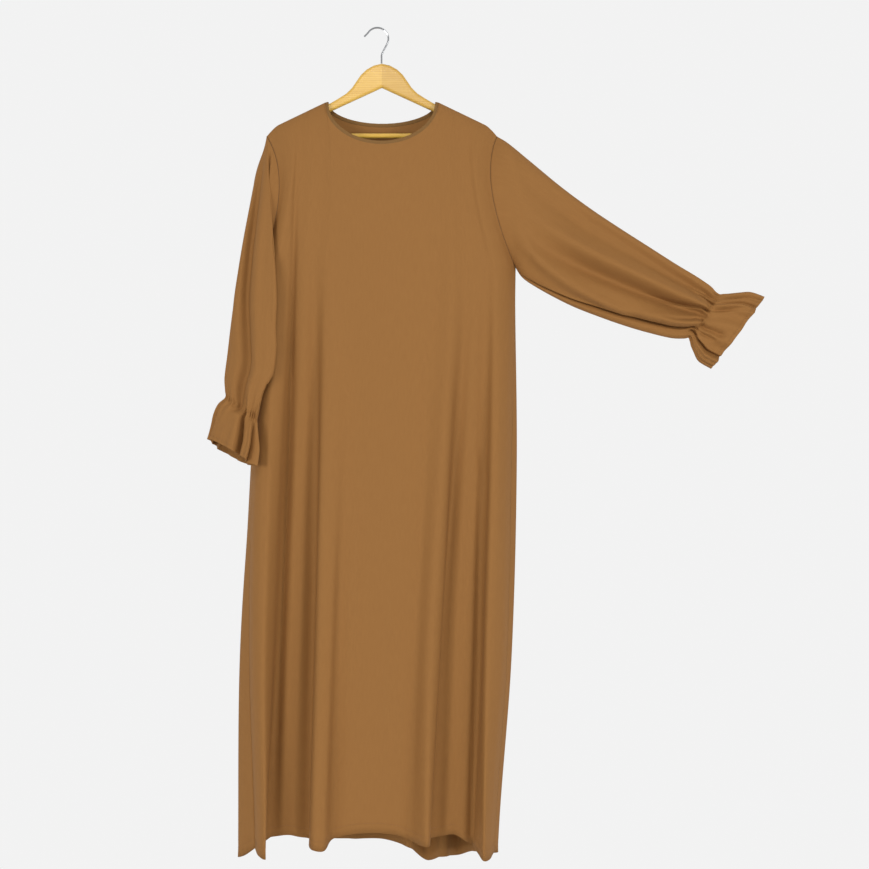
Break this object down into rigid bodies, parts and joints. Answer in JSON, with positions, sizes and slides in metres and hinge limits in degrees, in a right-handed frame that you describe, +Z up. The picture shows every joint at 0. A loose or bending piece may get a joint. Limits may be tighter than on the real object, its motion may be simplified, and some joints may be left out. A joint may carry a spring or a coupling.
{
  "type": "abaya on hanger",
  "caption": "Long plain brown abaya with elastic flounced cuffs on a wooden hanger, one sleeve held out to the side.",
  "frame": {"origin": "inside top of the hanger's hook, where it rests on a rail", "axes": "+Z up, +X to the viewer's right (the wearer's left), front of the garment faces -Y"},
  "size_m": [1.055, 0.1724, 1.5827],
  "materials": {
    "cloth": "soft crepe with a low sheen",
    "binding": "soft crepe strip",
    "wood": "clear glossy lacquer",
    "hook_metal": "bright plated wire"
  },
  "bodies": {
    "root": {"front": "cloth", "back": "cloth", "right_sleeve": "cloth", "left_sleeve": "cloth", "neck_binding": "binding", "hanger_wood": "wood", "hanger_bar": "wood", "hanger_hook": "hook_metal"}
  },
  "joints": []
}
